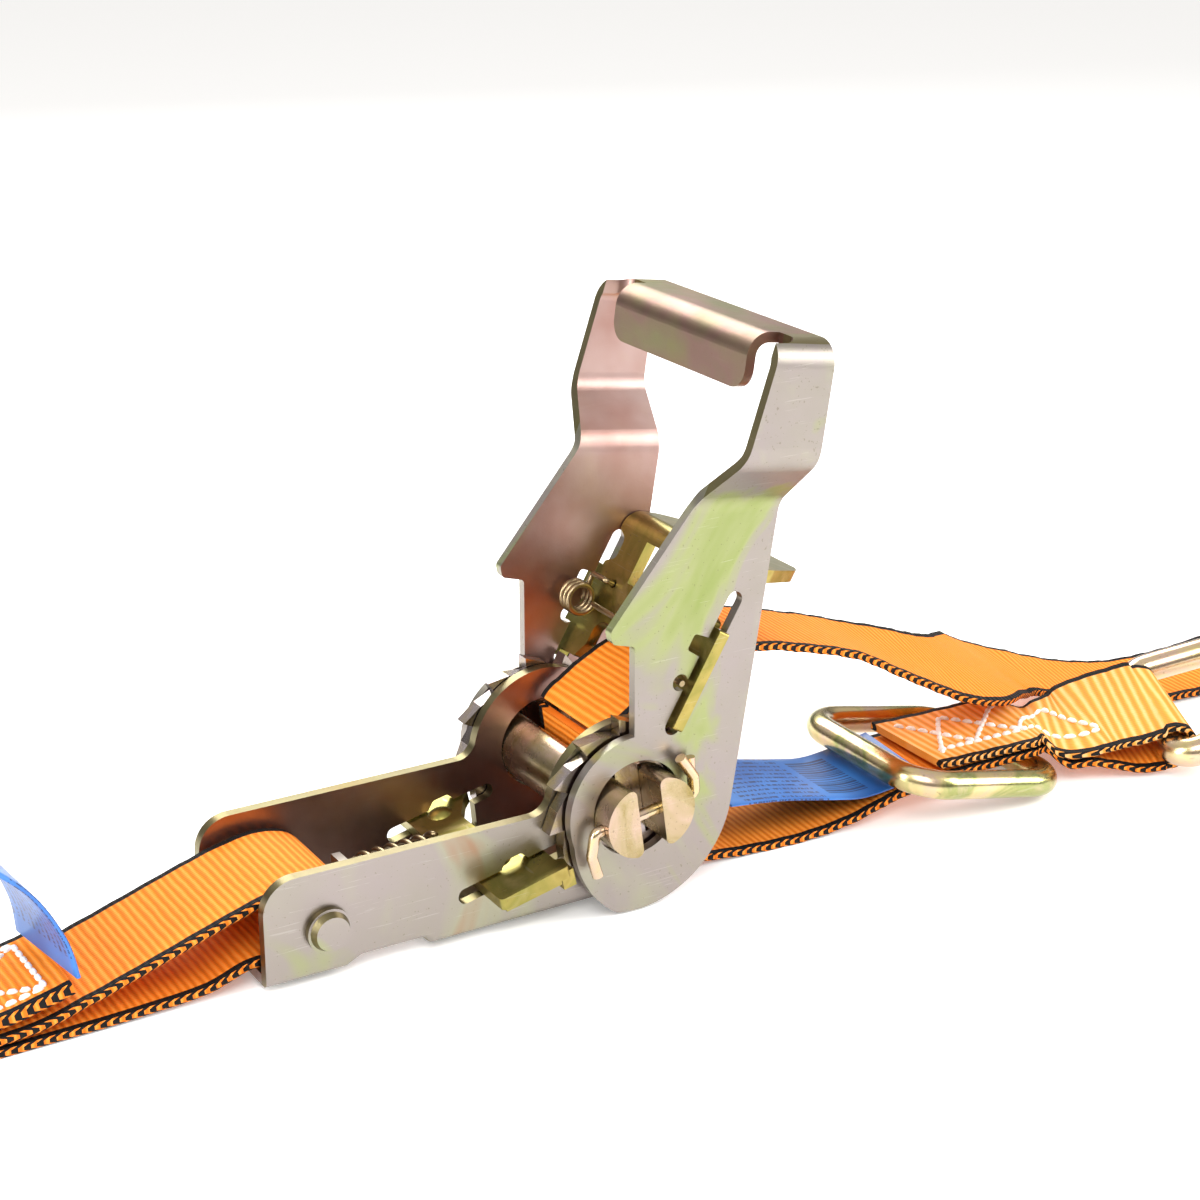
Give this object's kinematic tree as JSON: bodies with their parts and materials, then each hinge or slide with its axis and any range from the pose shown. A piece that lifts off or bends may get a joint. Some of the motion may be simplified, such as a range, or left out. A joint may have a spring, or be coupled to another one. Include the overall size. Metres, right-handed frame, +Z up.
{
  "type": "ratchet tie down",
  "caption": "Webbing ratchet strap: a toothed spindle wound by a swinging handle, held by two sprung pawls in a stamped frame, with a wire hook on each end.",
  "frame": {"origin": "centre of the whole object's footprint, on the ground", "axes": "+X from the fixed-end hook towards the loose-end hook, +Z up, -Y the near side"},
  "size_m": [0.523, 0.0855, 0.1115],
  "materials": {
    "zinc_steel": "yellow-passivated zinc plate with pink and green tints",
    "olive_zinc_steel": "darker olive-gold zinc plate",
    "spring_wire": "drawn wire",
    "webbing": "ribbed polyester webbing with black edge cords",
    "label_blue": "satin printed label"
  },
  "bodies": {
    "frame": {"frame_channel": "zinc_steel", "frame_pin": "zinc_steel", "frame_pawl_spring": "spring_wire", "short_strap": "webbing", "short_eye": "webbing", "short_flap": "webbing", "short_label": "label_blue", "load_strap": "webbing", "load_top": "webbing", "long_eye": "webbing", "tail_strap": "webbing", "tail_roll": "webbing", "long_label": "label_blue"},
    "spindle": {"spindle_half_front": "olive_zinc_steel", "spindle_half_rear": "olive_zinc_steel", "ratchet_wheel_far": "zinc_steel", "ratchet_wheel_near": "zinc_steel", "split_pin_far": "olive_zinc_steel", "split_pin_near": "olive_zinc_steel", "slot_webbing": "webbing"},
    "frame_pawl": {"frame_pawl": "olive_zinc_steel"},
    "handle": {"handle": "zinc_steel", "handle_pawl_spring": "spring_wire"},
    "handle_pawl": {"handle_pawl": "olive_zinc_steel"},
    "long_hook": {"long_hook": "zinc_steel"},
    "short_hook": {"short_hook": "zinc_steel"},
    "d_ring": {"d_ring": "zinc_steel"}
  },
  "joints": [
    {"name": "handle_swing", "type": "hinge", "parent": "frame", "child": "handle", "pos_m": [-0.02245, 0.01084, 0.02188], "axis": [0, -1, 0], "range_deg": [-5, 98]},
    {"name": "spindle_turn", "type": "hinge", "parent": "frame", "child": "spindle", "pos_m": [-0.02245, 0.01084, 0.02188], "axis": [0, -1, 0], "continuous": true},
    {"name": "frame_pawl_slide", "type": "slide", "parent": "frame", "child": "frame_pawl", "axis": [-0.9763, 0, -0.2164], "range_m": [0, 0.003], "stiffness_N_per_m": 600, "springref_m": -0.003, "deforming": ["frame_pawl_spring"]},
    {"name": "handle_pawl_slide", "type": "slide", "parent": "handle", "child": "handle_pawl", "axis": [0.5075, 0, 0.8616], "range_m": [0, 0.0065], "stiffness_N_per_m": 400, "springref_m": -0.003, "deforming": ["handle_pawl_spring"]},
    {"name": "long_hook_swing", "type": "hinge", "parent": "frame", "child": "long_hook", "pos_m": [0.11405, -0.00676, 0.00918], "axis": [-0.3357, -0.9224, -0.1908], "range_deg": [0, 60]},
    {"name": "short_hook_swing", "type": "hinge", "parent": "frame", "child": "short_hook", "pos_m": [-0.19725, 0.01084, 0.00588], "axis": [0, 1, 0], "range_deg": [0, 60]},
    {"name": "d_ring_slide", "type": "slide", "parent": "frame", "child": "d_ring", "axis": [1, 0, 0], "range_m": [-0.003, 0.001]}
  ]
}
